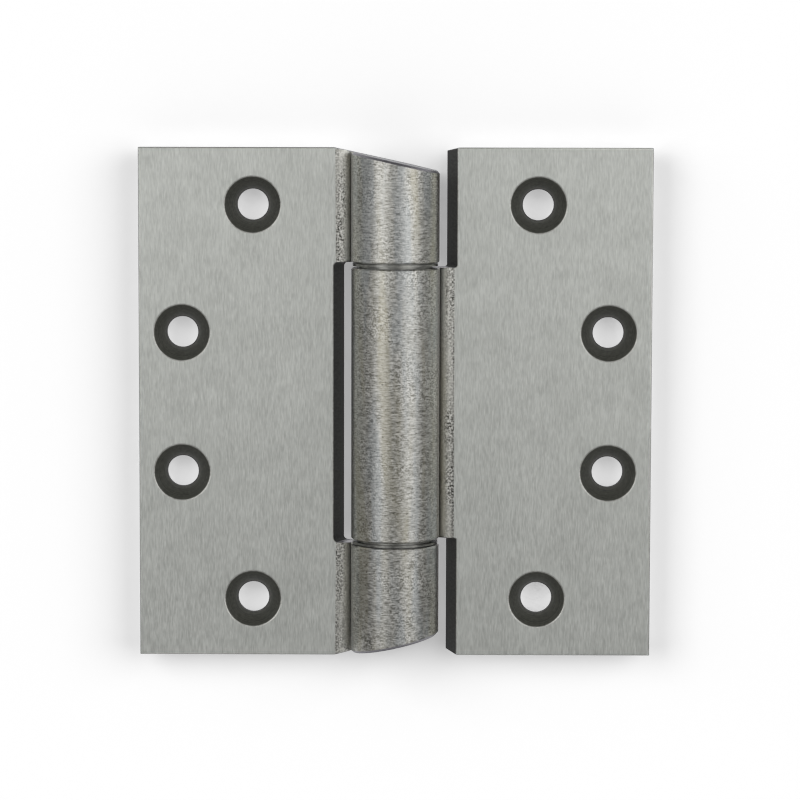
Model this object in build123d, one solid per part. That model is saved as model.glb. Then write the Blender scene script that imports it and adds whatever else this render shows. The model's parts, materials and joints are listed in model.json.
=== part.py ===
from build123d import *
import os
from math import acos, cos, degrees, radians, sin, sqrt, tan

# Heavy weight butt hinge, 4-1/2 in by 4-1/2 in, opened flat.
# Each leaf is one steel blank: it is swaged back beside the barrel and rolled round the pin.
# The frame leaf carries the two outer knuckles and the door leaf carries the centre knuckle.
# X runs across the leaves, Z runs up along the pin, and the countersunk faces look towards -Y.
# The origin is on the pin axis at mid height. All sizes are in millimetres.

# Leaves
leaf_height = 114.3
leaf_half_width = 57.5
leaf_gauge = 4.57
closed_gap = 1.6

# Barrel and the swaged bend beside it
barrel_diameter = 19.6
swage_angle = 21.5
swage_bend_radius = 2.0
seam_gap = 0.2
roll_end_lag = 32.0
knuckle_edge_break = 0.3

# Lengths along the pin, as half lengths from mid height
centre_knuckle_half = 30.45
joint_gap = 1.25

# Cut-outs that clear the other leaf's knuckles
cutout_front_reach = 13.9
cutout_back_reach = 11.9
frame_corner_radius = 1.1
door_corner_radius = 0.6
corner_ease_length = 2.4
corner_ease_drop = 0.6

# Sloped ends of the outer knuckles
tip_slope_angle = 12.5
tip_slope_start = 13.8
tip_rim_break = 0.5

# Screw holes, for countersunk screws
hole_diameter = 7.1
countersink_diameter = 12.7
countersink_angle = 82.0
near_column = 32.0
far_column = 47.9
outer_row = 44.45
inner_row = 15.75

# Pin and the plugs that close the sloped tips
press_clearance = 0.01
pin_half_length = 43.5
pin_chamfer = 0.6
plug_gap = 0.3
plug_chamfer = 0.25

# Bushes that guide the pin in the centre knuckle
bush_wall = 0.8
bush_length = 12.0
running_clearance = 0.04
relief_clearance = 0.35

# Thrust ball bearings, one in each joint
seat_wall = 1.2
outer_seat_wall = 1.5
outer_seat_depth = 1.2
ball_diameter = 1.984
ball_count = 12
ball_plane_inset = 0.7
groove_depth = 0.45
groove_clearance = 0.02
pocket_clearance = 0.06
race_thickness = 1.3
cage_face_clearance = 0.15
turning_gap = 0.3
rim_thickness = 0.5
rim_seat_gap = 0.25
rim_recess = 0.3

# Values that follow from the sizes above
barrel_radius = barrel_diameter / 2
bore_radius = barrel_radius - leaf_gauge
face_y = closed_gap / 2
back_y = face_y + leaf_gauge
leaf_half_height = leaf_height / 2
outer_knuckle_start = centre_knuckle_half + joint_gap
tangent_angle = 90 - swage_angle
crease_angle = tangent_angle - degrees(acos(bore_radius / barrel_radius))
pin_radius = bore_radius - press_clearance
bush_seat_radius = pin_radius + running_clearance + bush_wall
centre_seat_radius = barrel_radius - seat_wall
outer_seat_radius = barrel_radius - outer_seat_wall
ball_radius = ball_diameter / 2
ball_plane = centre_knuckle_half - ball_plane_inset
race_gap = ball_diameter - 2 * groove_depth
turning_race_top = ball_plane - race_gap / 2
turning_race_base = turning_race_top - race_thickness
fixed_race_base = ball_plane + race_gap / 2
fixed_race_top = outer_knuckle_start + outer_seat_depth
cage_inner_radius = pin_radius + turning_gap
cage_outer_radius = centre_seat_radius - turning_gap
pitch_radius = (cage_inner_radius + cage_outer_radius) / 2
rim_top = outer_knuckle_start - rim_seat_gap
rim_radius = barrel_radius - rim_recess
cut_margin = barrel_diameter


def polar(radius, angle):
    """Point on a circle about the pin axis, with the angle in degrees from +X."""
    return (radius * cos(radians(angle)), radius * sin(radians(angle)))


def arc_about_pin(radius, start, end):
    """Arc about the pin axis from one angle to another."""
    return ThreePointArc(polar(radius, start), polar(radius, (start + end) / 2), polar(radius, end))


def leaf_section():
    """Section of the door leaf: flat, swaged bend, and the roll round the pin to its open seam."""
    inner_tangent = polar(bore_radius, tangent_angle)
    outer_tangent = polar(barrel_radius, tangent_angle)
    slope = tan(radians(swage_angle))
    front_bend = (inner_tangent[0] + (inner_tangent[1] - face_y) / slope, face_y)
    back_bend = (outer_tangent[0] + (outer_tangent[1] - back_y) / slope, back_y)
    outer_end = 360 + crease_angle - degrees(seam_gap / barrel_radius)
    inner_end = 360 + tangent_angle - roll_end_lag
    free_front = (leaf_half_width, face_y)
    free_back = (leaf_half_width, back_y)
    front = FilletPolyline(free_front, front_bend, inner_tangent, radius=swage_bend_radius + leaf_gauge)
    bore = arc_about_pin(bore_radius, tangent_angle, inner_end)
    roll_end = Line(polar(bore_radius, inner_end), polar(barrel_radius, outer_end))
    barrel = arc_about_pin(barrel_radius, outer_end, tangent_angle)
    back = FilletPolyline(outer_tangent, back_bend, free_back, radius=swage_bend_radius)
    free_edge = Line(free_back, free_front)
    return make_face([*front.edges(), bore, roll_end, barrel, *back.edges(), free_edge])


def cutout_edge_x(y):
    """Where the bevelled edge of a cut-out stands at a depth y, seen from the pin axis."""
    lean = (cutout_back_reach - cutout_front_reach) / leaf_gauge
    return cutout_front_reach + lean * (y - face_y)


def cutout_profile():
    """Outline, in plan, of what a cut-out takes off the door leaf."""
    return Polygon(
        (-cut_margin, -cut_margin),
        (cutout_edge_x(-cut_margin), -cut_margin),
        (cutout_edge_x(cut_margin), cut_margin),
        (-cut_margin, cut_margin),
        align=None,
    )


def round_cutout_corner(cutter, z, radius):
    """Round a cut-out's inside corner at height z, where its bevelled edge turns."""
    bevel_edges = cutter.edges().filter_by_position(Axis.Z, z, z).sort_by(Axis.X)
    return fillet(bevel_edges[-1], radius)


def drum(radius, low, high):
    """Solid cylinder on the pin axis between two heights."""
    return extrude(Plane.XY.offset(low) * Circle(radius), high - low)


def mirrored_up_down(shape):
    """Copy of a shape on the other side of mid height."""
    return mirror(shape, about=Plane.XY)


def screw_hole(x, z):
    """Through hole with its countersink on the leaf's front face."""
    hole_radius = hole_diameter / 2
    head_radius = countersink_diameter / 2
    head_depth = (head_radius - hole_radius) / tan(radians(countersink_angle / 2))
    profile = Polyline(
        (0, face_y),
        (head_radius, face_y),
        (hole_radius, face_y + head_depth),
        (hole_radius, back_y),
        (0, back_y),
        close=True,
    )
    return Pos(x, 0, z) * revolve(make_face(profile), Axis.Y)


def screw_holes():
    """The four screw holes of a leaf on the +X side."""
    holes = [screw_hole(near_column, row) for row in (outer_row, -outer_row)]
    return holes + [screw_hole(far_column, row) for row in (inner_row, -inner_row)]


def tip_cutter():
    """Wedge above the slope of the top tip, for a leaf on the +X side."""
    reach = tip_slope_start + cut_margin
    low = leaf_half_height - reach * tan(radians(tip_slope_angle))
    outline = Plane.XZ * Polygon(
        (tip_slope_start, leaf_half_height),
        (-cut_margin, low),
        (-cut_margin, leaf_half_height + cut_margin),
        (tip_slope_start, leaf_half_height + cut_margin),
        align=None,
    )
    return extrude(outline, cut_margin, both=True)


def web_sector():
    """Sector about the pin axis in which the leaf's web leaves the barrel."""
    outline = Polygon(
        (0, 0),
        polar(2 * barrel_diameter, crease_angle),
        polar(2 * barrel_diameter, tangent_angle),
        align=None,
    )
    return extrude(outline, leaf_height, both=True)


def rim_trim(blank):
    """What a knuckle loses at its rims: all round its finished blank, but not at the web."""
    sleeve = drum(barrel_radius + knuckle_edge_break, -leaf_half_height, leaf_half_height)
    return sleeve - blank - web_sector()


def outer_knuckle_blank():
    """Outside of the top knuckle: a drum with a sloped top, its edges broken."""
    blank = drum(barrel_radius, outer_knuckle_start, leaf_half_height) - tip_cutter()
    blank = chamfer(blank.edges().filter_by(GeomType.ELLIPSE), tip_rim_break)
    return chamfer(blank.edges().filter_by(GeomType.CIRCLE).sort_by(Axis.Z)[0], knuckle_edge_break)


def centre_knuckle_blank():
    """Outside of the centre knuckle: a drum with both edges broken."""
    blank = drum(barrel_radius, -centre_knuckle_half, centre_knuckle_half)
    return chamfer(blank.edges().filter_by(GeomType.CIRCLE), knuckle_edge_break)


def make_frame_leaf():
    """Leaf with the outer knuckles, their sloped tips and the bearing seats, turned to the -X side."""
    leaf = extrude(leaf_section(), leaf_half_height, both=True)
    window = extrude(cutout_profile(), outer_knuckle_start, both=True)
    for z in (outer_knuckle_start, -outer_knuckle_start):
        window = round_cutout_corner(window, z, frame_corner_radius)
    leaf -= window
    slope = tip_cutter()
    leaf -= [slope, mirrored_up_down(slope)]
    blank = outer_knuckle_blank()
    leaf -= rim_trim([blank, mirrored_up_down(blank)])
    seat = drum(outer_seat_radius, outer_knuckle_start, fixed_race_top)
    leaf -= [seat, mirrored_up_down(seat), *screw_holes()]
    return mirror(leaf, about=Plane.YZ)


def corner_ease():
    """Shallow wedge that eases the door leaf's corner beside the top cut-out."""
    outline = Plane.XZ * Polygon(
        (cutout_back_reach - corner_ease_length, leaf_half_height - 2 * corner_ease_drop),
        (cutout_back_reach + corner_ease_length, leaf_half_height),
        (cutout_back_reach - corner_ease_length, leaf_half_height + corner_ease_drop),
        align=None,
    )
    return extrude(outline, cut_margin, both=True)


def make_door_leaf():
    """Leaf on the +X side, with the centre knuckle, its bush seats and its bearing seats."""
    leaf = extrude(leaf_section(), leaf_half_height, both=True)
    window = extrude(cutout_profile(), leaf_height)
    window = Pos(0, 0, centre_knuckle_half) * window
    window = round_cutout_corner(window, centre_knuckle_half, door_corner_radius)
    leaf -= [window, mirrored_up_down(window)]
    leaf -= rim_trim(centre_knuckle_blank())
    ease = corner_ease()
    leaf -= [ease, mirrored_up_down(ease)]
    seat = drum(centre_seat_radius, turning_race_base, leaf_half_height)
    bush_seat = drum(bush_seat_radius, turning_race_base - bush_length, leaf_half_height)
    relief = drum(pin_radius + relief_clearance, -leaf_half_height, leaf_half_height)
    leaf -= [seat, mirrored_up_down(seat), bush_seat, mirrored_up_down(bush_seat), relief]
    return leaf - screw_holes()


def make_pin():
    """Straight pin, pressed into both outer knuckles."""
    pin = drum(pin_radius, -pin_half_length, pin_half_length)
    return chamfer(pin.edges().filter_by(GeomType.CIRCLE), pin_chamfer)


def make_top_tip():
    """Plug that closes the top knuckle above the pin, cut to the slope."""
    plug = drum(bore_radius - press_clearance, pin_half_length + plug_gap, leaf_half_height)
    plug -= mirror(tip_cutter(), about=Plane.YZ)
    return chamfer(plug.edges().filter_by(GeomType.ELLIPSE), plug_chamfer)


def groove_points(side):
    """Edges and bottom of a race groove, below the ball plane for side -1 and above it for +1."""
    groove_radius = ball_radius + groove_clearance
    half_width = sqrt(groove_radius ** 2 - (race_gap / 2) ** 2)
    face = ball_plane + side * race_gap / 2
    bottom = ball_plane + side * groove_radius
    return (pitch_radius - half_width, face), (pitch_radius, bottom), (pitch_radius + half_width, face)


def revolved(*outline):
    """Ring turned about the pin axis from an outline of radius and height."""
    return revolve(Plane.XZ * make_face(outline), Axis.Z)


def make_turning_race():
    """Grooved washer that sits in the centre knuckle and turns with the door leaf."""
    near, bottom, far = groove_points(-1)
    inner = pin_radius + turning_gap
    outer = centre_seat_radius - press_clearance
    top = Line((inner, turning_race_top), near)
    groove = ThreePointArc(near, bottom, far)
    rest = Polyline(
        far,
        (outer, turning_race_top),
        (outer, turning_race_base),
        (inner, turning_race_base),
        (inner, turning_race_top),
    )
    return revolved(top, groove, *rest.edges())


def make_fixed_race():
    """Grooved ring seated in the outer knuckle, with the rim that shows in the joint."""
    near, bottom, far = groove_points(1)
    inner = pin_radius + press_clearance
    outer = outer_seat_radius - press_clearance
    lower = Line((inner, fixed_race_base), near)
    groove = ThreePointArc(near, bottom, far)
    rest = Polyline(
        far,
        (outer, fixed_race_base),
        (outer, rim_top - rim_thickness),
        (rim_radius, rim_top - rim_thickness),
        (rim_radius, rim_top),
        (outer, rim_top),
        (outer, fixed_race_top),
        (inner, fixed_race_top),
        (inner, fixed_race_base),
    )
    return revolved(lower, groove, *rest.edges())


def ball_places():
    """Centres of the balls of the upper bearing."""
    return [(*polar(pitch_radius, index * 360 / ball_count), ball_plane) for index in range(ball_count)]


def make_ball_cage():
    """Flat ring with a round pocket for each ball."""
    half = race_gap / 2 - cage_face_clearance
    cage = drum(cage_outer_radius, ball_plane - half, ball_plane + half)
    cage -= drum(cage_inner_radius, ball_plane - half, ball_plane + half)
    pocket = Cylinder(ball_radius + pocket_clearance, race_gap)
    cage -= [Pos(*place) * pocket for place in ball_places()]
    return cage


def make_bush():
    """Plain bush in the centre knuckle, below the turning race."""
    low = turning_race_base - bush_length
    high = turning_race_base - press_clearance
    bush = drum(bush_seat_radius - press_clearance, low, high)
    return bush - drum(pin_radius + running_clearance, low, high)


def bearing_nodes():
    """Pieces of the upper joint by name, without the word upper."""
    nodes = {
        "fixed_race": make_fixed_race(),
        "turning_race": make_turning_race(),
        "ball_cage": make_ball_cage(),
        "bush": make_bush(),
    }
    for index, place in enumerate(ball_places(), start=1):
        nodes[f"ball_{index:02d}"] = Pos(*place) * Sphere(ball_radius)
    return nodes


def hinge_nodes():
    """Every piece of the hinge by the name of its node."""
    top_tip = make_top_tip()
    nodes = {
        "frame_leaf": make_frame_leaf(),
        "door_leaf": make_door_leaf(),
        "hinge_pin": make_pin(),
        "top_tip": top_tip,
        "bottom_tip": mirrored_up_down(top_tip),
    }
    for name, shape in bearing_nodes().items():
        nodes[f"upper_{name}"] = shape
        nodes[f"lower_{name}"] = mirrored_up_down(shape)
    return nodes


os.makedirs("parts", exist_ok=True)
for node_name, node_shape in hinge_nodes().items():
    export_step(node_shape, f"parts/{node_name}.step")
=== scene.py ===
"""Looks of a heavy butt hinge with swaged leaves, rolled knuckles and ball bearings in its joints.

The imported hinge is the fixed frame. Each leaf is shown by a dressed copy of its solid: its crisp
edges are broken, and every face takes the finish that its making left. The other pieces keep
their solids and take a finish. Lengths are in metres, and a name that ends in _mm holds
millimetres.
"""

import json
import logging
from dataclasses import dataclass
from enum import Enum
from math import cos, hypot, pi, radians, sin

import bmesh
import bpy
from mathutils import Matrix, Vector


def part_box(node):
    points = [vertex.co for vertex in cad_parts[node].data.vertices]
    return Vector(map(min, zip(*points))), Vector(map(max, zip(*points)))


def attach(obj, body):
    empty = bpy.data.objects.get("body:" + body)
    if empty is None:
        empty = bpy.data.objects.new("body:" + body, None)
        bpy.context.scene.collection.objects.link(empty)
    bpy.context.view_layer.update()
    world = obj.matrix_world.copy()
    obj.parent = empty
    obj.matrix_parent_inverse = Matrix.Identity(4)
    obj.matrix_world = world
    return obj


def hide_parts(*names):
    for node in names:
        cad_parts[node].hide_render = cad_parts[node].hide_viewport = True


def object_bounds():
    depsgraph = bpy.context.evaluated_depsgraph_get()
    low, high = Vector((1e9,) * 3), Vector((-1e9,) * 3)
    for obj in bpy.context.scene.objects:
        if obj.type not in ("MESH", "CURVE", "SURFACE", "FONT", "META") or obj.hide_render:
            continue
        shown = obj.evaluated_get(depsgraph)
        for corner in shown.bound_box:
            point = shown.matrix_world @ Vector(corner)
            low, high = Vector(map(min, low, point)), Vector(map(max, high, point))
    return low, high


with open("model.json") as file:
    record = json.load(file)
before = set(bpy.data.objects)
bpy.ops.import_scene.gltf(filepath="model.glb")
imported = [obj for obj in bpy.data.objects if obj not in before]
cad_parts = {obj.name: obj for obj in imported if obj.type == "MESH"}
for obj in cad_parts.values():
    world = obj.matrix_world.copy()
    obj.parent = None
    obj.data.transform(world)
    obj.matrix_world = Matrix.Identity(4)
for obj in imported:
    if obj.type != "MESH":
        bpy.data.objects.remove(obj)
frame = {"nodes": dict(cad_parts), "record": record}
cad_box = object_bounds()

log = logging.getLogger("butt_hinge")

MM = 0.001
WHITE = "#FFFFFF"
# Nearly all of a noise pattern lies between these two values, about the middle one.
NOISE_LOW, NOISE_MIDDLE, NOISE_HIGH = 0.3, 0.5, 0.7
# Numbers of a Mix node's sockets when it mixes colours.
MIX_FACTOR, MIX_FIRST, MIX_SECOND, MIX_RESULT = 0, 6, 7, 2

Triple = tuple[float, float, float]
Material = bpy.types.Material
Node = bpy.types.Node
Socket = bpy.types.NodeSocket
Tree = bpy.types.NodeTree


class Finish(Enum):
    """How a face of a leaf was made, which sets its look."""

    SATIN = 0
    KNUCKLE = 1
    BEND = 2
    SHEARED = 3
    COUNTERSUNK = 4
    WORN_EDGE = 5
    GROUND_END = 6


def linear(hex_colour: str) -> tuple[float, float, float, float]:
    """Turn an sRGB colour into Blender's linear one.

    Args:
        hex_colour: the colour as six hex digits after a hash.

    Returns:
        Red, green, blue and an alpha of 1.
    """
    channels = [int(hex_colour[start:start + 2], 16) / 255 for start in (1, 3, 5)]
    # The curve and its numbers are the sRGB standard's.
    bright = [c / 12.92 if c <= 0.04045 else ((c + 0.055) / 1.055) ** 2.4 for c in channels]
    return (*bright, 1.0)


def add_node(tree: Tree, kind: str, inputs: dict[str | int, object] | None = None,
             **settings: object) -> Node:
    """Add one node with its settings, its constants and its links.

    Args:
        tree: the node tree that it joins.
        kind: Blender's name of the node's type.
        inputs: what each input gets, by its name or number: a constant, another node's output, or
            a node whose first output it takes.
        settings: the node's own properties.

    Returns:
        The new node.
    """
    node = tree.nodes.new(kind)
    for name, value in settings.items():
        setattr(node, name, value)
    for key, value in (inputs or {}).items():
        source = value.outputs[0] if isinstance(value, Node) else value
        if isinstance(source, Socket):
            tree.links.new(source, node.inputs[key])
        else:
            node.inputs[key].default_value = source
    return node


def add_object(name: str, data: bpy.types.ID) -> bpy.types.Object:
    """Put an object in the scene, at the origin.

    Args:
        name: the object's name.
        data: its mesh, camera or light.

    Returns:
        The object.
    """
    made = bpy.data.objects.new(name, data)
    bpy.context.scene.collection.objects.link(made)
    return made


def new_material(name: str) -> tuple[Material, Tree, Socket]:
    """Start a material.

    Args:
        name: the material's name.

    Returns:
        The material, its empty node tree, and the piece's Object coordinates in that tree.
    """
    material = bpy.data.materials.new(name)
    material.use_nodes = True
    tree = material.node_tree
    tree.nodes.clear()
    place = add_node(tree, "ShaderNodeTexCoord").outputs["Object"]
    return material, tree, place


def grain(tree: Tree, place: Socket, cell_mm: Triple, detail: float = 2.0) -> Node:
    """Draw a pattern whose grains have a real size along X, Y and Z.

    Args:
        tree: the material's node tree.
        place: coordinates in metres.
        cell_mm: length of a grain along each axis, in millimetres.
        detail: number of finer layers.

    Returns:
        The noise node that draws the pattern.
    """
    scale = tuple(1 / (cell * MM) for cell in cell_mm)
    placed = add_node(tree, "ShaderNodeMapping", {"Vector": place, "Scale": scale},
                      vector_type="POINT")
    return add_node(tree, "ShaderNodeTexNoise", {"Vector": placed, "Scale": 1.0, "Detail": detail})


def layered(tree: Tree, base: str, layers: list[tuple[Node, str]]) -> Socket:
    """Lay colours over one another.

    Args:
        tree: the material's node tree.
        base: the lowest colour as hex.
        layers: each further colour as hex, after the pattern by which it shows.

    Returns:
        The mixed colour.
    """
    colour = linear(base)
    for pattern, shade in layers:
        inputs = {MIX_FACTOR: pattern, MIX_FIRST: colour, MIX_SECOND: linear(shade)}
        colour = add_node(tree, "ShaderNodeMix", inputs, data_type="RGBA").outputs[MIX_RESULT]
    return colour


def surface(tree: Tree, colour: Socket, roughness: Node | float, height: Node, relief_mm: float,
            metallic: float = 1.0, specular: float = 0.5) -> None:
    """Close a material with a shader whose relief follows a height pattern.

    Args:
        tree: the material's node tree.
        colour: pattern of the base colour.
        roughness: roughness, constant or pattern.
        height: relief pattern, where 1 is high.
        relief_mm: height of the relief in millimetres.
        metallic: 1 for bare metal.
        specular: strength of the gloss of a surface that isn't bare metal.
    """
    bump = add_node(tree, "ShaderNodeBump",
                    {"Height": height, "Distance": relief_mm * MM, "Strength": 1.0})
    inputs = {"Base Color": colour, "Roughness": roughness, "Metallic": metallic, "Normal": bump,
              "Specular IOR Level": specular}
    shader = add_node(tree, "ShaderNodeBsdfPrincipled", inputs)
    add_node(tree, "ShaderNodeOutputMaterial", {"Surface": shader})


@dataclass(frozen=True)
class Stretch:
    """A range of a pattern and the range that it is stretched to, which it never leaves."""

    low: float
    high: float
    to_low: float = 0.0
    to_high: float = 1.0

    def inputs(self, pattern: Node | Socket) -> dict[str, object]:
        """Say what each input of a Map Range node gets, to stretch a pattern."""
        return {"Value": pattern, "From Min": self.low, "From Max": self.high,
                "To Min": self.to_low, "To Max": self.to_high}


@dataclass(frozen=True)
class SatinBrushedSteel:
    """Steel sheet brushed along the pin on a belt: fine upright lines and a soft, even sheen."""

    name: str = "satin_brushed_steel"
    dark: str = "#BCBEB9"
    light: str = "#D8DAD5"
    # Belt lines are about 0.05 mm wide. They are drawn wider, so that they show.
    line_mm: Triple = (0.18, 0.18, 1.7)
    line_detail: float = 3.0
    # Where the belt pressed harder the sheet is a little brighter, in soft clouds.
    cloud_mm: Triple = (9.0, 9.0, 9.0)
    cloud_share: float = 0.3
    # Lines and clouds add up to about 0.65, the middle of this range.
    tone: Stretch = Stretch(0.42, 0.88)
    roughness: Stretch = Stretch(NOISE_LOW, NOISE_HIGH, 0.40, 0.47)
    relief_mm: float = 0.0024

    def material(self) -> Material:
        """Build the material.

        Returns:
            The material.
        """
        material, tree, place = new_material(self.name)
        lines = grain(tree, place, self.line_mm, self.line_detail)
        clouds = grain(tree, place, self.cloud_mm)
        cloudy_lines = add_node(tree, "ShaderNodeMath", {0: clouds, 1: self.cloud_share, 2: lines},
                                operation="MULTIPLY_ADD")
        tone = add_node(tree, "ShaderNodeMapRange", self.tone.inputs(cloudy_lines))
        colour = layered(tree, self.dark, [(tone, self.light)])
        roughness = add_node(tree, "ShaderNodeMapRange", self.roughness.inputs(lines))
        surface(tree, colour, roughness, lines, self.relief_mm)
        return material


@dataclass(frozen=True)
class RolledKnuckleSteel:
    """Steel rolled and linished round the knuckle: level scratches, pebbled patches, painted
    reflection tints.
    """

    name: str = "linished_knuckle_steel"
    dark: str = "#7E7D76"
    light: str = "#D0CFCA"
    warm: str = "#A09A84"
    cool: str = "#A2A9AF"
    pit_colour: str = "#55544D"
    # Linishing scratches are about 0.1 mm high. They are drawn higher, so that they show.
    scratch_mm: Triple = (1.2, 1.2, 0.28)
    # Rolling pebbles the skin in patches, which breaks the scratches up.
    pebble_mm: Triple = (0.40, 0.40, 0.40)
    pebble_detail: float = 1.0
    pebble_share: float = 1.2
    patch_mm: Triple = (9.0, 9.0, 9.0)
    patch_tone: Stretch = Stretch(0.45, 0.65, 0.15, 1.0)
    tone: Stretch = Stretch(NOISE_LOW, NOISE_HIGH)
    # Faint upright bands at random, some bluish and some straw coloured, are painted reflection
    # tints.
    band_mm: Triple = (4.0, 4.0, 40.0)
    cool_tone: Stretch = Stretch(0.52, 0.62, 0.0, 0.35)
    warm_tone: Stretch = Stretch(0.48, 0.38, 0.0, 0.35)
    # A few dark pits stand alone.
    pit_mm: Triple = (0.6, 0.6, 0.3)
    pit_detail: float = 0.0
    pit_tone: Stretch = Stretch(0.72, 0.80, 0.0, 0.7)
    roughness: Stretch = Stretch(NOISE_LOW, NOISE_HIGH, 0.32, 0.46)
    relief_mm: float = 0.026

    def material(self) -> Material:
        """Build the material.

        Returns:
            The material.
        """
        material, tree, place = new_material(self.name)
        scratches = grain(tree, place, self.scratch_mm)
        pebbles = grain(tree, place, self.pebble_mm, self.pebble_detail)
        patches = add_node(tree, "ShaderNodeMapRange",
                           self.patch_tone.inputs(grain(tree, place, self.patch_mm)))
        # The pebbles rise and sink about zero, so that a patch is as bright as what is round it.
        centred = add_node(tree, "ShaderNodeMath", {0: pebbles, 1: NOISE_MIDDLE},
                           operation="SUBTRACT")
        pebbled = add_node(tree, "ShaderNodeMath", {0: centred, 1: patches}, operation="MULTIPLY")
        height = add_node(tree, "ShaderNodeMath", {0: pebbled, 1: self.pebble_share, 2: scratches},
                          operation="MULTIPLY_ADD")
        tone = add_node(tree, "ShaderNodeMapRange", self.tone.inputs(height))
        bands = grain(tree, place, self.band_mm)
        # Painted reflection: bluish and straw tints laid in upright bands.
        cool = add_node(tree, "ShaderNodeMapRange", self.cool_tone.inputs(bands))
        warm = add_node(tree, "ShaderNodeMapRange", self.warm_tone.inputs(bands))
        pits = add_node(tree, "ShaderNodeMapRange",
                        self.pit_tone.inputs(grain(tree, place, self.pit_mm, self.pit_detail)))
        layers = [(tone, self.light), (cool, self.cool), (warm, self.warm), (pits, self.pit_colour)]
        colour = layered(tree, self.dark, layers)
        roughness = add_node(tree, "ShaderNodeMapRange", self.roughness.inputs(scratches))
        surface(tree, colour, roughness, height, self.relief_mm)
        return material


@dataclass(frozen=True)
class SwagedBendSteel:
    """Steel stretched by the swage: black and bright speckles at its corner, painted shade in its
    crease.

    Away from the corner the speckles give way to an even grey.
    """

    name: str = "speckled_bend_steel"
    dark: str = "#3B3A34"
    light: str = "#E4E3DD"
    smooth: str = "#CDCCC5"
    # Painted shade: the crease next to the barrel is darkened towards this colour.
    painted_crease_shade: str = "#6F6D64"
    # The stretch opens the skin in speckles of this size, thickest where the bend is sharpest.
    speckle_mm: Triple = (0.42, 0.42, 0.42)
    speckle_detail: float = 1.0
    speckle_tone: Stretch = Stretch(0.38, 0.64)
    patch_mm: Triple = (2.0, 2.0, 9.0)
    patch_tone: Stretch = Stretch(0.40, 0.60, 0.35, 1.0)
    # Distances across the leaf from the pin axis, and the share of speckles or of painted crease
    # shade there.
    corner: Stretch = Stretch(10.8 * MM, 11.6 * MM, 0.25, 1.0)
    crease: Stretch = Stretch(9.9 * MM, 10.5 * MM, 0.2, 0.0)
    roughness: Stretch = Stretch(NOISE_LOW, NOISE_HIGH, 0.30, 0.46)
    relief_mm: float = 0.020

    def material(self) -> Material:
        """Build the material.

        Returns:
            The material.
        """
        material, tree, place = new_material(self.name)
        speckles = grain(tree, place, self.speckle_mm, self.speckle_detail)
        patches = add_node(tree, "ShaderNodeMapRange",
                           self.patch_tone.inputs(grain(tree, place, self.patch_mm)))
        across = add_node(tree, "ShaderNodeSeparateXYZ", {"Vector": place}).outputs["X"]
        reach = add_node(tree, "ShaderNodeMath", {0: across}, operation="ABSOLUTE")
        corner = add_node(tree, "ShaderNodeMapRange", self.corner.inputs(reach))
        share = add_node(tree, "ShaderNodeMath", {0: patches, 1: corner}, operation="MULTIPLY")
        even = add_node(tree, "ShaderNodeMath", {0: 1.0, 1: share}, operation="SUBTRACT")
        tone = add_node(tree, "ShaderNodeMapRange", self.speckle_tone.inputs(speckles))
        # Painted shade: darker in the crease next to the barrel, fading out away from it.
        painted_crease_shade = add_node(tree, "ShaderNodeMapRange", self.crease.inputs(reach))
        layers = [(tone, self.light), (even, self.smooth), (painted_crease_shade, self.painted_crease_shade)]
        colour = layered(tree, self.dark, layers)
        roughness = add_node(tree, "ShaderNodeMapRange", self.roughness.inputs(speckles))
        surface(tree, colour, roughness, speckles, self.relief_mm)
        return material


@dataclass(frozen=True)
class ShearedSteel:
    """Blackened steel left by the shear: near black, dull, with faint marks through the sheet."""

    name: str = "blackened_sheared_steel"
    dark: str = "#1E1E1D"
    light: str = "#4A4A48"
    # The shear drags its marks through the sheet, along Y.
    mark_mm: Triple = (0.5, 2.5, 0.5)
    mark_detail: float = 3.0
    tone: Stretch = Stretch(NOISE_LOW, NOISE_HIGH)
    roughness: Stretch = Stretch(NOISE_LOW, NOISE_HIGH, 0.6, 0.8)
    relief_mm: float = 0.01
    specular: float = 0.25

    def material(self) -> Material:
        """Build the material.

        Returns:
            The material.
        """
        material, tree, place = new_material(self.name)
        marks = grain(tree, place, self.mark_mm, self.mark_detail)
        tone = add_node(tree, "ShaderNodeMapRange", self.tone.inputs(marks))
        colour = layered(tree, self.dark, [(tone, self.light)])
        roughness = add_node(tree, "ShaderNodeMapRange", self.roughness.inputs(marks))
        surface(tree, colour, roughness, marks, self.relief_mm, metallic=0.0,
                specular=self.specular)
        return material


@dataclass(frozen=True)
class CountersunkSteel:
    """Blackened countersink: near black with the faint rings of the cutter."""

    name: str = "blackened_countersink"
    dark: str = "#24241F"
    light: str = "#4C4D45"
    # The cutter's rings stand as far apart as it fed in one turn.
    ring_mm: float = 0.16
    ring_detail: float = 1.0
    # The blacking is a little uneven.
    mottle_mm: Triple = (0.6, 0.6, 0.6)
    mottle_share: float = 0.8
    # Rings and mottle add up to about 0.9, the middle of this range.
    tone: Stretch = Stretch(0.6, 1.2)
    roughness: float = 0.55
    relief_mm: float = 0.006
    attribute: str = "cutter_radius"

    def material(self) -> Material:
        """Build the material.

        Returns:
            The material.
        """
        material, tree, place = new_material(self.name)
        radius = add_node(tree, "ShaderNodeAttribute", attribute_name=self.attribute).outputs["Fac"]
        inputs = {"W": radius, "Scale": 1 / (self.ring_mm * MM), "Detail": self.ring_detail}
        rings = add_node(tree, "ShaderNodeTexNoise", inputs, noise_dimensions="1D")
        mottle = grain(tree, place, self.mottle_mm)
        mottled = add_node(tree, "ShaderNodeMath", {0: mottle, 1: self.mottle_share, 2: rings},
                           operation="MULTIPLY_ADD")
        tone = add_node(tree, "ShaderNodeMapRange", self.tone.inputs(mottled))
        colour = layered(tree, self.dark, [(tone, self.light)])
        surface(tree, colour, self.roughness, rings, self.relief_mm, metallic=0.0)
        return material


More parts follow.
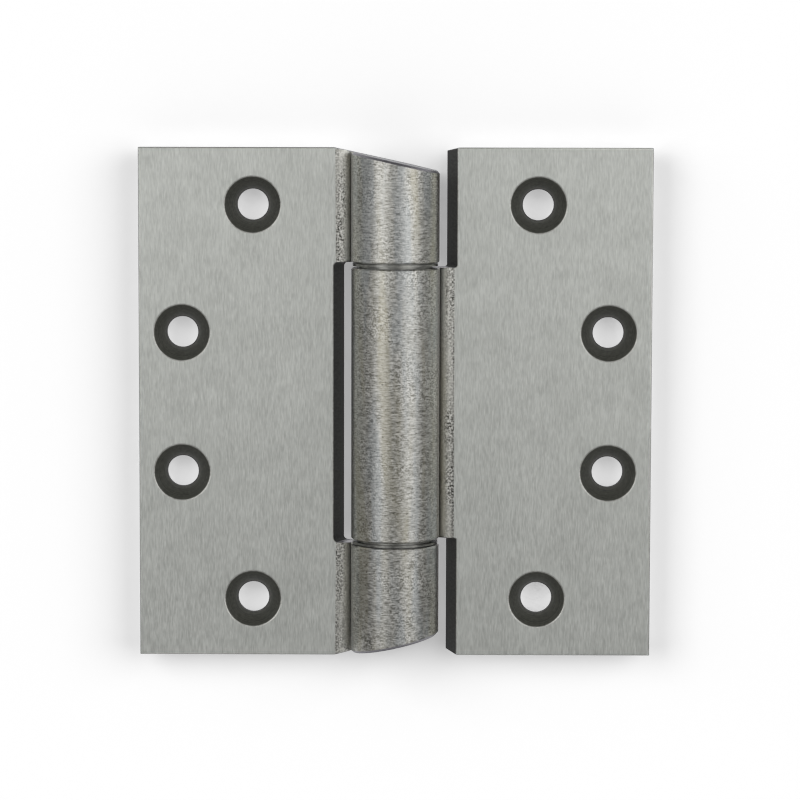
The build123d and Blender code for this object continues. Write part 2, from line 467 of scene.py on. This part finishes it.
@dataclass(frozen=True)
class PlainMetal:
    """Turned, ground, stamped or pressed metal with a grain of its own."""

    name: str
    dark: str
    light: str
    grain_mm: Triple
    roughness: tuple[float, float]
    relief_mm: float
    grain_detail: float = 3.0
    tone: Stretch = Stretch(0.35, 0.65)

    def material(self) -> Material:
        """Build the material.

        Returns:
            The material.
        """
        material, tree, place = new_material(self.name)
        marks = grain(tree, place, self.grain_mm, self.grain_detail)
        tone = add_node(tree, "ShaderNodeMapRange", self.tone.inputs(marks))
        colour = layered(tree, self.dark, [(tone, self.light)])
        dulled = Stretch(NOISE_LOW, NOISE_HIGH, *self.roughness)
        roughness = add_node(tree, "ShaderNodeMapRange", dulled.inputs(marks))
        surface(tree, colour, roughness, marks, self.relief_mm)
        return material


# Grinding lines and pores are a few hundredths of a millimetre wide. The grains below are drawn
# wider, so that they show.

# The rim of each cut, rubbed bright by the belt.
WORN_EDGE = PlainMetal(
    "rubbed_bright_edge", "#A8A8A3", "#C4C4C0", (0.6, 0.6, 0.6), (0.40, 0.50), 0.002)
# Ground ends of the knuckles and tips: greyer and duller than the knuckles, with a faint lilac tint
# that is painted reflection of the paper behind.
GROUND_END = PlainMetal(
    "ground_end_steel", "#706E73", "#8A888D", (4.0, 0.3, 0.3), (0.35, 0.50), 0.006)
# Ground bearing steel of the races: even grey with level grinding lines.
RACE_STEEL = PlainMetal(
    "ground_race_steel", "#6E6E6B", "#94948F", (1.2, 1.2, 0.3), (0.28, 0.40), 0.004)
# Centreless ground pin: bright and smooth, with faint level lines.
PIN_STEEL = PlainMetal(
    "ground_pin_steel", "#B0B0AE", "#C2C2C0", (4.0, 4.0, 0.2), (0.18, 0.26), 0.002)
# Lapped bearing balls: mirror bright.
BALL_STEEL = PlainMetal(
    "lapped_ball_steel", "#C6C7C8", "#CDCECF", (0.4, 0.4, 0.4), (0.06, 0.10), 0.0002)
# Stamped brass cage: warm yellow, softly dull.
CAGE_BRASS = PlainMetal(
    "stamped_cage_brass", "#B08D45", "#C5A358", (0.5, 0.5, 0.5), (0.28, 0.40), 0.004)
# Pressed and sintered bronze bush: brown and finely porous.
BUSH_BRONZE = PlainMetal(
    "sintered_bush_bronze", "#85603B", "#9E7549", (0.2, 0.2, 0.2), (0.40, 0.55), 0.008)


@dataclass(frozen=True)
class Hole:
    """One screw hole of a leaf, on an axis along Y."""

    x: float
    z: float

    def distance(self, point: Vector) -> float:
        """Distance of a point from the hole's axis."""
        return hypot(point.x - self.x, point.z - self.z)


@dataclass
class Leaf:
    """One leaf: a dressed copy of its solid, with its crisp edges broken."""

    node: str
    body: str
    barrel_radius: float
    # Distance from a hole's axis to just past its countersink.
    countersink_reach: float = 6.6 * MM
    # How far the knuckle's facets may lie from its true radius.
    skin: float = 0.05 * MM
    # A leaf's flats start this far outside the barrel.
    web_reach: float = 0.35 * MM
    # The cut-outs beside the barrel end within this many barrel radii of the pin axis.
    cut_out_share: float = 2.0
    # The tips' slopes lie past this share of the hinge's half height.
    tip_share: float = 0.88
    # Offset of the bevel that breaks an edge.
    edge_break: float = 0.16 * MM
    edge_segments: int = 2
    merge_distance: float = 0.001 * MM
    # Facets that turn less than the first angle are one flat, and more than the second an edge.
    flat_angle: float = radians(0.2)
    sharp_angle: float = radians(32)
    # Least share of a face's normal along one axis that makes it a flat, an end, and so on.
    face_normal: float = 0.9995
    end_normal: float = 0.9
    slope_normal: float = 0.1
    web_normal: float = 0.85
    rim_normal: float = 0.4
    flats: tuple[Finish, ...] = (Finish.SATIN, Finish.SHEARED, Finish.GROUND_END)
    plane_mark: str = "plane"

    def holes(self) -> list[Hole]:
        """Find the leaf's screw holes from the openings that the record states.

        Returns:
            The holes.
        """
        found = []
        for opening in frame["record"]["physics"]["openings"]:
            if opening["name"].startswith(self.node):
                low, high = opening["box_m"]
                found.append(Hole((low[0] + high[0]) / 2, (low[2] + high[2]) / 2))
        return found

    def at_hole(self, point: Vector, holes: list[Hole]) -> bool:
        """Say whether a point is in or at the rim of a screw hole."""
        return any(hole.distance(point) < self.countersink_reach for hole in holes)

    def finish_of(self, face: bmesh.types.BMFace, holes: list[Hole]) -> Finish:
        """Say how a face of the leaf was made.

        Args:
            face: the face.
            holes: the leaf's screw holes.

        Returns:
            The face's finish.
        """
        centre = face.calc_center_median()
        normal = face.normal
        radius = hypot(centre.x, centre.y)
        if abs(normal.y) > self.face_normal and radius > self.barrel_radius + self.web_reach:
            return Finish.SATIN
        if self.at_hole(centre, holes):
            return Finish.COUNTERSUNK
        if abs(normal.z) > self.end_normal:
            sloped = abs(normal.x) > self.slope_normal
            on_knuckle = sloped or radius < self.barrel_radius
            return Finish.GROUND_END if on_knuckle else Finish.SHEARED
        if abs(normal.z) > self.rim_normal and abs(centre.z) > self.tip_share * cad_box[1].z:
            return Finish.GROUND_END
        if radius < self.barrel_radius + self.skin:
            return Finish.KNUCKLE
        return Finish.BEND if abs(normal.y) > self.web_normal else Finish.SHEARED

    def break_edges(self, shape: bmesh.types.BMesh, holes: list[Hole]) -> None:
        """Break the crisp edges round the leaf's flat faces, and rub those at the cuts bright.

        Args:
            shape: the leaf, with a finish on each face.
            holes: the leaf's screw holes.
        """
        cuts = {Finish.SHEARED.value, Finish.COUNTERSUNK.value}
        crisp = []
        for edge in shape.edges:
            kinds = {face.material_index for face in edge.link_faces}
            if Finish.SATIN.value in kinds and kinds & cuts:
                crisp.append(edge)
        made = bmesh.ops.bevel(
            shape, geom=crisp, offset=self.edge_break, offset_type="OFFSET",
            segments=self.edge_segments, profile=0.5, affect="EDGES", clamp_overlap=False,
            material=-1)
        for face in made["faces"]:
            # Twice a strip's area over its perimeter is its width, and a wider face is no strip.
            if 2 * face.calc_area() > self.edge_break * face.calc_perimeter():
                continue
            centre = face.calc_center_median()
            beside_barrel = abs(centre.x) < self.cut_out_share * self.barrel_radius
            rubbed = beside_barrel or self.at_hole(centre, holes)
            face.material_index = (Finish.WORN_EDGE if rubbed else Finish.SATIN).value
            face.smooth = True

    def true_normals(self, mesh: bpy.types.Mesh) -> None:
        """Keep the flats flat, and point the knuckles' normals straight out from the pin axis.

        Args:
            mesh: the dressed leaf's mesh.
        """
        normals = [corner.vector.copy() for corner in mesh.corner_normals]
        planes = mesh.attributes[self.plane_mark].data
        for polygon in mesh.polygons:
            if planes[polygon.index].value:
                for corner in polygon.loop_indices:
                    normals[corner] = polygon.normal.copy()
            outward = Vector((polygon.center.x, polygon.center.y, 0)).normalized()
            faces_out = polygon.normal.dot(outward) >= self.end_normal
            if polygon.material_index != Finish.KNUCKLE.value or not faces_out:
                continue
            for corner in polygon.loop_indices:
                place = mesh.vertices[mesh.loops[corner].vertex_index].co
                if abs(hypot(place.x, place.y) - self.barrel_radius) < self.skin:
                    normals[corner] = Vector((place.x, place.y, 0)).normalized()
        mesh.normals_split_custom_set(normals)

    def shape(self, holes: list[Hole]) -> bmesh.types.BMesh:
        """Copy the solid, give each face its finish and break its crisp edges.

        Args:
            holes: the leaf's screw holes.

        Returns:
            The shape, which marks its flats and holds the distance from a hole at each vertex.
        """
        shape = bmesh.new()
        shape.from_mesh(frame["nodes"][self.node].data)
        bmesh.ops.remove_doubles(shape, verts=shape.verts, dist=self.merge_distance)
        bmesh.ops.dissolve_limit(
            shape, angle_limit=self.flat_angle, use_dissolve_boundaries=False,
            verts=shape.verts, edges=shape.edges, delimit={"NORMAL"})
        for face in shape.faces:
            finish = self.finish_of(face, holes)
            face.material_index = finish.value
            face.smooth = finish not in self.flats
        self.break_edges(shape, holes)
        plane = shape.faces.layers.int.new(self.plane_mark)
        for face in shape.faces:
            face[plane] = not face.smooth
        cutter_radius = shape.verts.layers.float.new(CountersunkSteel.attribute)
        for vert in shape.verts:
            vert[cutter_radius] = min(hole.distance(vert.co) for hole in holes)
        return shape

    def dress(self, materials: dict[Finish, Material]) -> None:
        """Build the dressed leaf and let it stand for the solid.

        Args:
            materials: the material of each finish.
        """
        holes = self.holes()
        shape = self.shape(holes)
        mesh = bpy.data.meshes.new(f"{self.node}_dressed")
        shape.to_mesh(mesh)
        shape.free()
        for finish in Finish:
            mesh.materials.append(materials[finish])
        mesh.set_sharp_from_angle(angle=self.sharp_angle)
        self.true_normals(mesh)
        dressed = add_object(f"{self.node}_dressed", mesh)
        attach(dressed, self.body)
        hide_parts(self.node)
        log.info("%s: %d faces, %d screw holes", dressed.name, len(mesh.polygons), len(holes))


@dataclass
class Fittings:
    """The pieces that keep their solids: pin, tips, races, balls, cages and bushes."""

    # The first word that a name holds sets its finish, so a ball cage is brass.
    finishes: tuple[tuple[str, PlainMetal], ...] = (
        ("hinge_pin", PIN_STEEL),
        ("tip", GROUND_END),
        ("race", RACE_STEEL),
        ("cage", CAGE_BRASS),
        ("bush", BUSH_BRONZE),
        ("ball_", BALL_STEEL),
    )

    def dress(self) -> None:
        """Give each kept solid its finish."""
        made = {}
        for name, node in frame["nodes"].items():
            found = [finish for word, finish in self.finishes if word in name]
            if not found:
                continue
            finish = found[0]
            if finish.name not in made:
                made[finish.name] = finish.material()
            for slot in node.material_slots:
                slot.material = made[finish.name]
            log.info("%s: %s", name, finish.name)


@dataclass(frozen=True)
class Softbox:
    """A soft light that hangs round the hinge and faces it."""

    name: str
    # Degrees to the right of the front, and degrees above the horizon.
    azimuth: float
    elevation: float
    width: float
    height: float
    # Brightness of its face.
    radiance: float
    distance: float = 1.0

    def hang(self) -> None:
        """Hang the light in the scene."""
        data = bpy.data.lights.new(self.name, "AREA")
        data.shape = "RECTANGLE"
        data.size, data.size_y = self.width, self.height
        # A flat light sends out pi times its radiance from each square metre of its face.
        data.energy = self.radiance * pi * self.width * self.height
        light = add_object(self.name, data)
        side, rise = radians(self.azimuth), radians(self.elevation)
        away = Vector((sin(side) * cos(rise), -cos(side) * cos(rise), sin(rise)))
        light.location = away * self.distance
        light.rotation_mode = "QUATERNION"
        light.rotation_quaternion = away.to_track_quat("Z", "Y")
        log.info("%s: %.0f degrees round, %.0f degrees up", self.name, self.azimuth, self.elevation)


@dataclass
class Studio:
    """Camera at the photograph's angle, pale floor and backdrop, and soft lights."""

    # The camera, as fitted to the photograph: its place, and its turns in degrees.
    camera_place_mm: Triple = (5.47, -716.4, 67.1)
    camera_yaw: float = -0.35
    camera_pitch: float = 5.29
    camera_roll: float = 0.13
    focal_px: float = 3206.7
    image_px: float = 800.0
    sensor_mm: float = 36.0
    near_clip: float = 0.01
    # The sheets: half their width, and how far they are behind and below the hinge.
    paper: str = "#F4F4F2"
    backdrop_y: float = 10.0 * MM
    backdrop_reach: float = 0.8
    floor_drop: float = 38.0 * MM
    floor_reach: float = 3.0
    # The glow all round, by the height of the direction: brightest just above the horizon, dark
    # below it, and brighter again towards the floor.
    glow_above: Stretch = Stretch(-0.17, 0.20, 0.02, 1.15)
    glow_below: Stretch = Stretch(-0.60, -0.32, 0.50, 0.02)
    # Share of the glow that is left at the ceiling, and at the sides and the back.
    ceiling: Stretch = Stretch(0.25, 0.60, 1.0, 0.20)
    sides: Stretch = Stretch(-0.95, -0.2, 1.0, 0.75)
    # Directions that metal sees as the white backdrop.
    backdrop_seen: Stretch = Stretch(0.0, 0.3)
    softboxes: tuple[Softbox, ...] = (
        Softbox("key_softbox", 41, 10, 0.80, 0.85, 1.30),
        Softbox("left_softbox", -36, 14, 0.55, 0.85, 1.65),
    )

    def camera(self) -> None:
        """Place the camera."""
        data = bpy.data.cameras.new("camera")
        data.sensor_width = self.sensor_mm
        data.lens = self.focal_px * self.sensor_mm / self.image_px
        data.clip_start = self.near_clip
        camera = add_object("camera", data)
        turns = (self.camera_yaw, self.camera_pitch, self.camera_roll)
        yaw, pitch, roll = (radians(turn) for turn in turns)
        forward = Vector((sin(yaw) * cos(pitch), cos(yaw) * cos(pitch), -sin(pitch)))
        level = Vector((cos(yaw), -sin(yaw), 0.0))
        upright = level.cross(forward)
        right = cos(roll) * level + sin(roll) * upright
        up = cos(roll) * upright - sin(roll) * level
        turn = Matrix((right, up, -forward)).transposed()
        place = Vector(self.camera_place_mm) * MM
        camera.matrix_world = Matrix.Translation(place) @ turn.to_4x4()
        bpy.context.scene.camera = camera
        log.info("camera: lens %.1f mm", data.lens)

    def sheet(self, name: str, reach: float, turn: Matrix, place: Vector) -> None:
        """Make one flat sheet of the set, which is paper in front and clear from behind.

        Args:
            name: the sheet's name.
            reach: half its width.
            turn: its turn from level.
            place: its centre.
        """
        shape = bmesh.new()
        bmesh.ops.create_grid(shape, x_segments=1, y_segments=1, size=reach)
        bmesh.ops.transform(shape, matrix=Matrix.Translation(place) @ turn, verts=shape.verts)
        mesh = bpy.data.meshes.new(name)
        shape.to_mesh(mesh)
        shape.free()
        material, tree, _ = new_material(f"{name}_paint")
        paint = add_node(tree, "ShaderNodeBsdfDiffuse", {"Color": linear(self.paper)})
        clear = add_node(tree, "ShaderNodeBsdfTransparent")
        behind = add_node(tree, "ShaderNodeNewGeometry").outputs["Backfacing"]
        one_sided = add_node(tree, "ShaderNodeMixShader", {0: behind, 1: paint, 2: clear})
        add_node(tree, "ShaderNodeOutputMaterial", {"Surface": one_sided})
        mesh.materials.append(material)
        sheet = add_object(name, mesh)
        # The sheet only takes the hinge's shadow. It neither shades nor lights the hinge.
        sheet.is_shadow_catcher = True
        sheet.visible_shadow = False
        sheet.visible_diffuse = False
        sheet.visible_glossy = False
        log.info("%s: %.1f m wide", name, 2 * reach)

    def sheets(self) -> None:
        """Make the floor, and the backdrop that takes the hinge's shadow close behind it."""
        ground = cad_box[0].z - self.floor_drop
        self.sheet("floor", self.floor_reach, Matrix.Identity(4), Vector((0, 0, ground)))
        upright = Matrix.Rotation(radians(90), 4, "X")
        centre = Vector((0, self.backdrop_y, ground + self.backdrop_reach))
        self.sheet("backdrop", self.backdrop_reach, upright, centre)

    def surround(self) -> None:
        """Light the set from all round, with a white background for the camera."""
        world = bpy.data.worlds.new("surround")
        world.use_nodes = True
        bpy.context.scene.world = world
        tree = world.node_tree
        tree.nodes.clear()
        way = add_node(tree, "ShaderNodeTexCoord").outputs["Generated"]
        along = add_node(tree, "ShaderNodeSeparateXYZ", {"Vector": way}).outputs
        above = add_node(tree, "ShaderNodeMapRange", self.glow_above.inputs(along["Z"]))
        below = add_node(tree, "ShaderNodeMapRange", self.glow_below.inputs(along["Z"]))
        ceiling = add_node(tree, "ShaderNodeMapRange", self.ceiling.inputs(along["Z"]))
        sides = add_node(tree, "ShaderNodeMapRange", self.sides.inputs(along["Y"]))
        glow = add_node(tree, "ShaderNodeMath", {0: above, 1: below}, operation="MAXIMUM")
        for share in (ceiling, sides):
            glow = add_node(tree, "ShaderNodeMath", {0: glow, 1: share}, operation="MULTIPLY")
        # The camera sees white, and so do metal and glass where the backdrop stands.
        rays = add_node(tree, "ShaderNodeLightPath").outputs
        seen = add_node(tree, "ShaderNodeMath",
                        {0: rays["Is Glossy Ray"], 1: rays["Is Transmission Ray"]},
                        operation="MAXIMUM")
        backdrop = add_node(tree, "ShaderNodeMapRange", self.backdrop_seen.inputs(along["Y"]))
        seen = add_node(tree, "ShaderNodeMath", {0: seen, 1: backdrop}, operation="MULTIPLY")
        seen = add_node(tree, "ShaderNodeMath", {0: rays["Is Camera Ray"], 1: seen},
                        operation="MAXIMUM")
        soft = add_node(tree, "ShaderNodeBackground", {"Color": linear(WHITE), "Strength": glow})
        white = add_node(tree, "ShaderNodeBackground", {"Color": linear(WHITE), "Strength": 1.0})
        both = add_node(tree, "ShaderNodeMixShader", {0: seen, 1: soft, 2: white})
        add_node(tree, "ShaderNodeOutputWorld", {"Surface": both})

    def build(self) -> None:
        """Set up the camera, the sheets, the lights and the view."""
        self.camera()
        self.sheets()
        self.surround()
        for softbox in self.softboxes:
            softbox.hang()
        bpy.context.scene.view_settings.view_transform = "Standard"


def leaf_materials() -> dict[Finish, Material]:
    """Build the material of each finish on the leaves.

    Returns:
        The materials by finish.
    """
    finishes = {
        Finish.SATIN: SatinBrushedSteel(),
        Finish.KNUCKLE: RolledKnuckleSteel(),
        Finish.BEND: SwagedBendSteel(),
        Finish.SHEARED: ShearedSteel(),
        Finish.COUNTERSUNK: CountersunkSteel(),
        Finish.WORN_EDGE: WORN_EDGE,
        Finish.GROUND_END: GROUND_END,
    }
    return {finish: steel.material() for finish, steel in finishes.items()}


def main() -> None:
    """Dress the hinge and set it in its studio."""
    logging.basicConfig(level=logging.INFO, format="%(name)s %(message)s")
    bpy.context.view_layer.update()
    barrel_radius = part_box("frame_leaf")[1].x
    materials = leaf_materials()
    Leaf("frame_leaf", "frame", barrel_radius).dress(materials)
    Leaf("door_leaf", "door", barrel_radius).dress(materials)
    Fittings().dress()
    Studio().build()


if __name__ == "__main__":
    main()
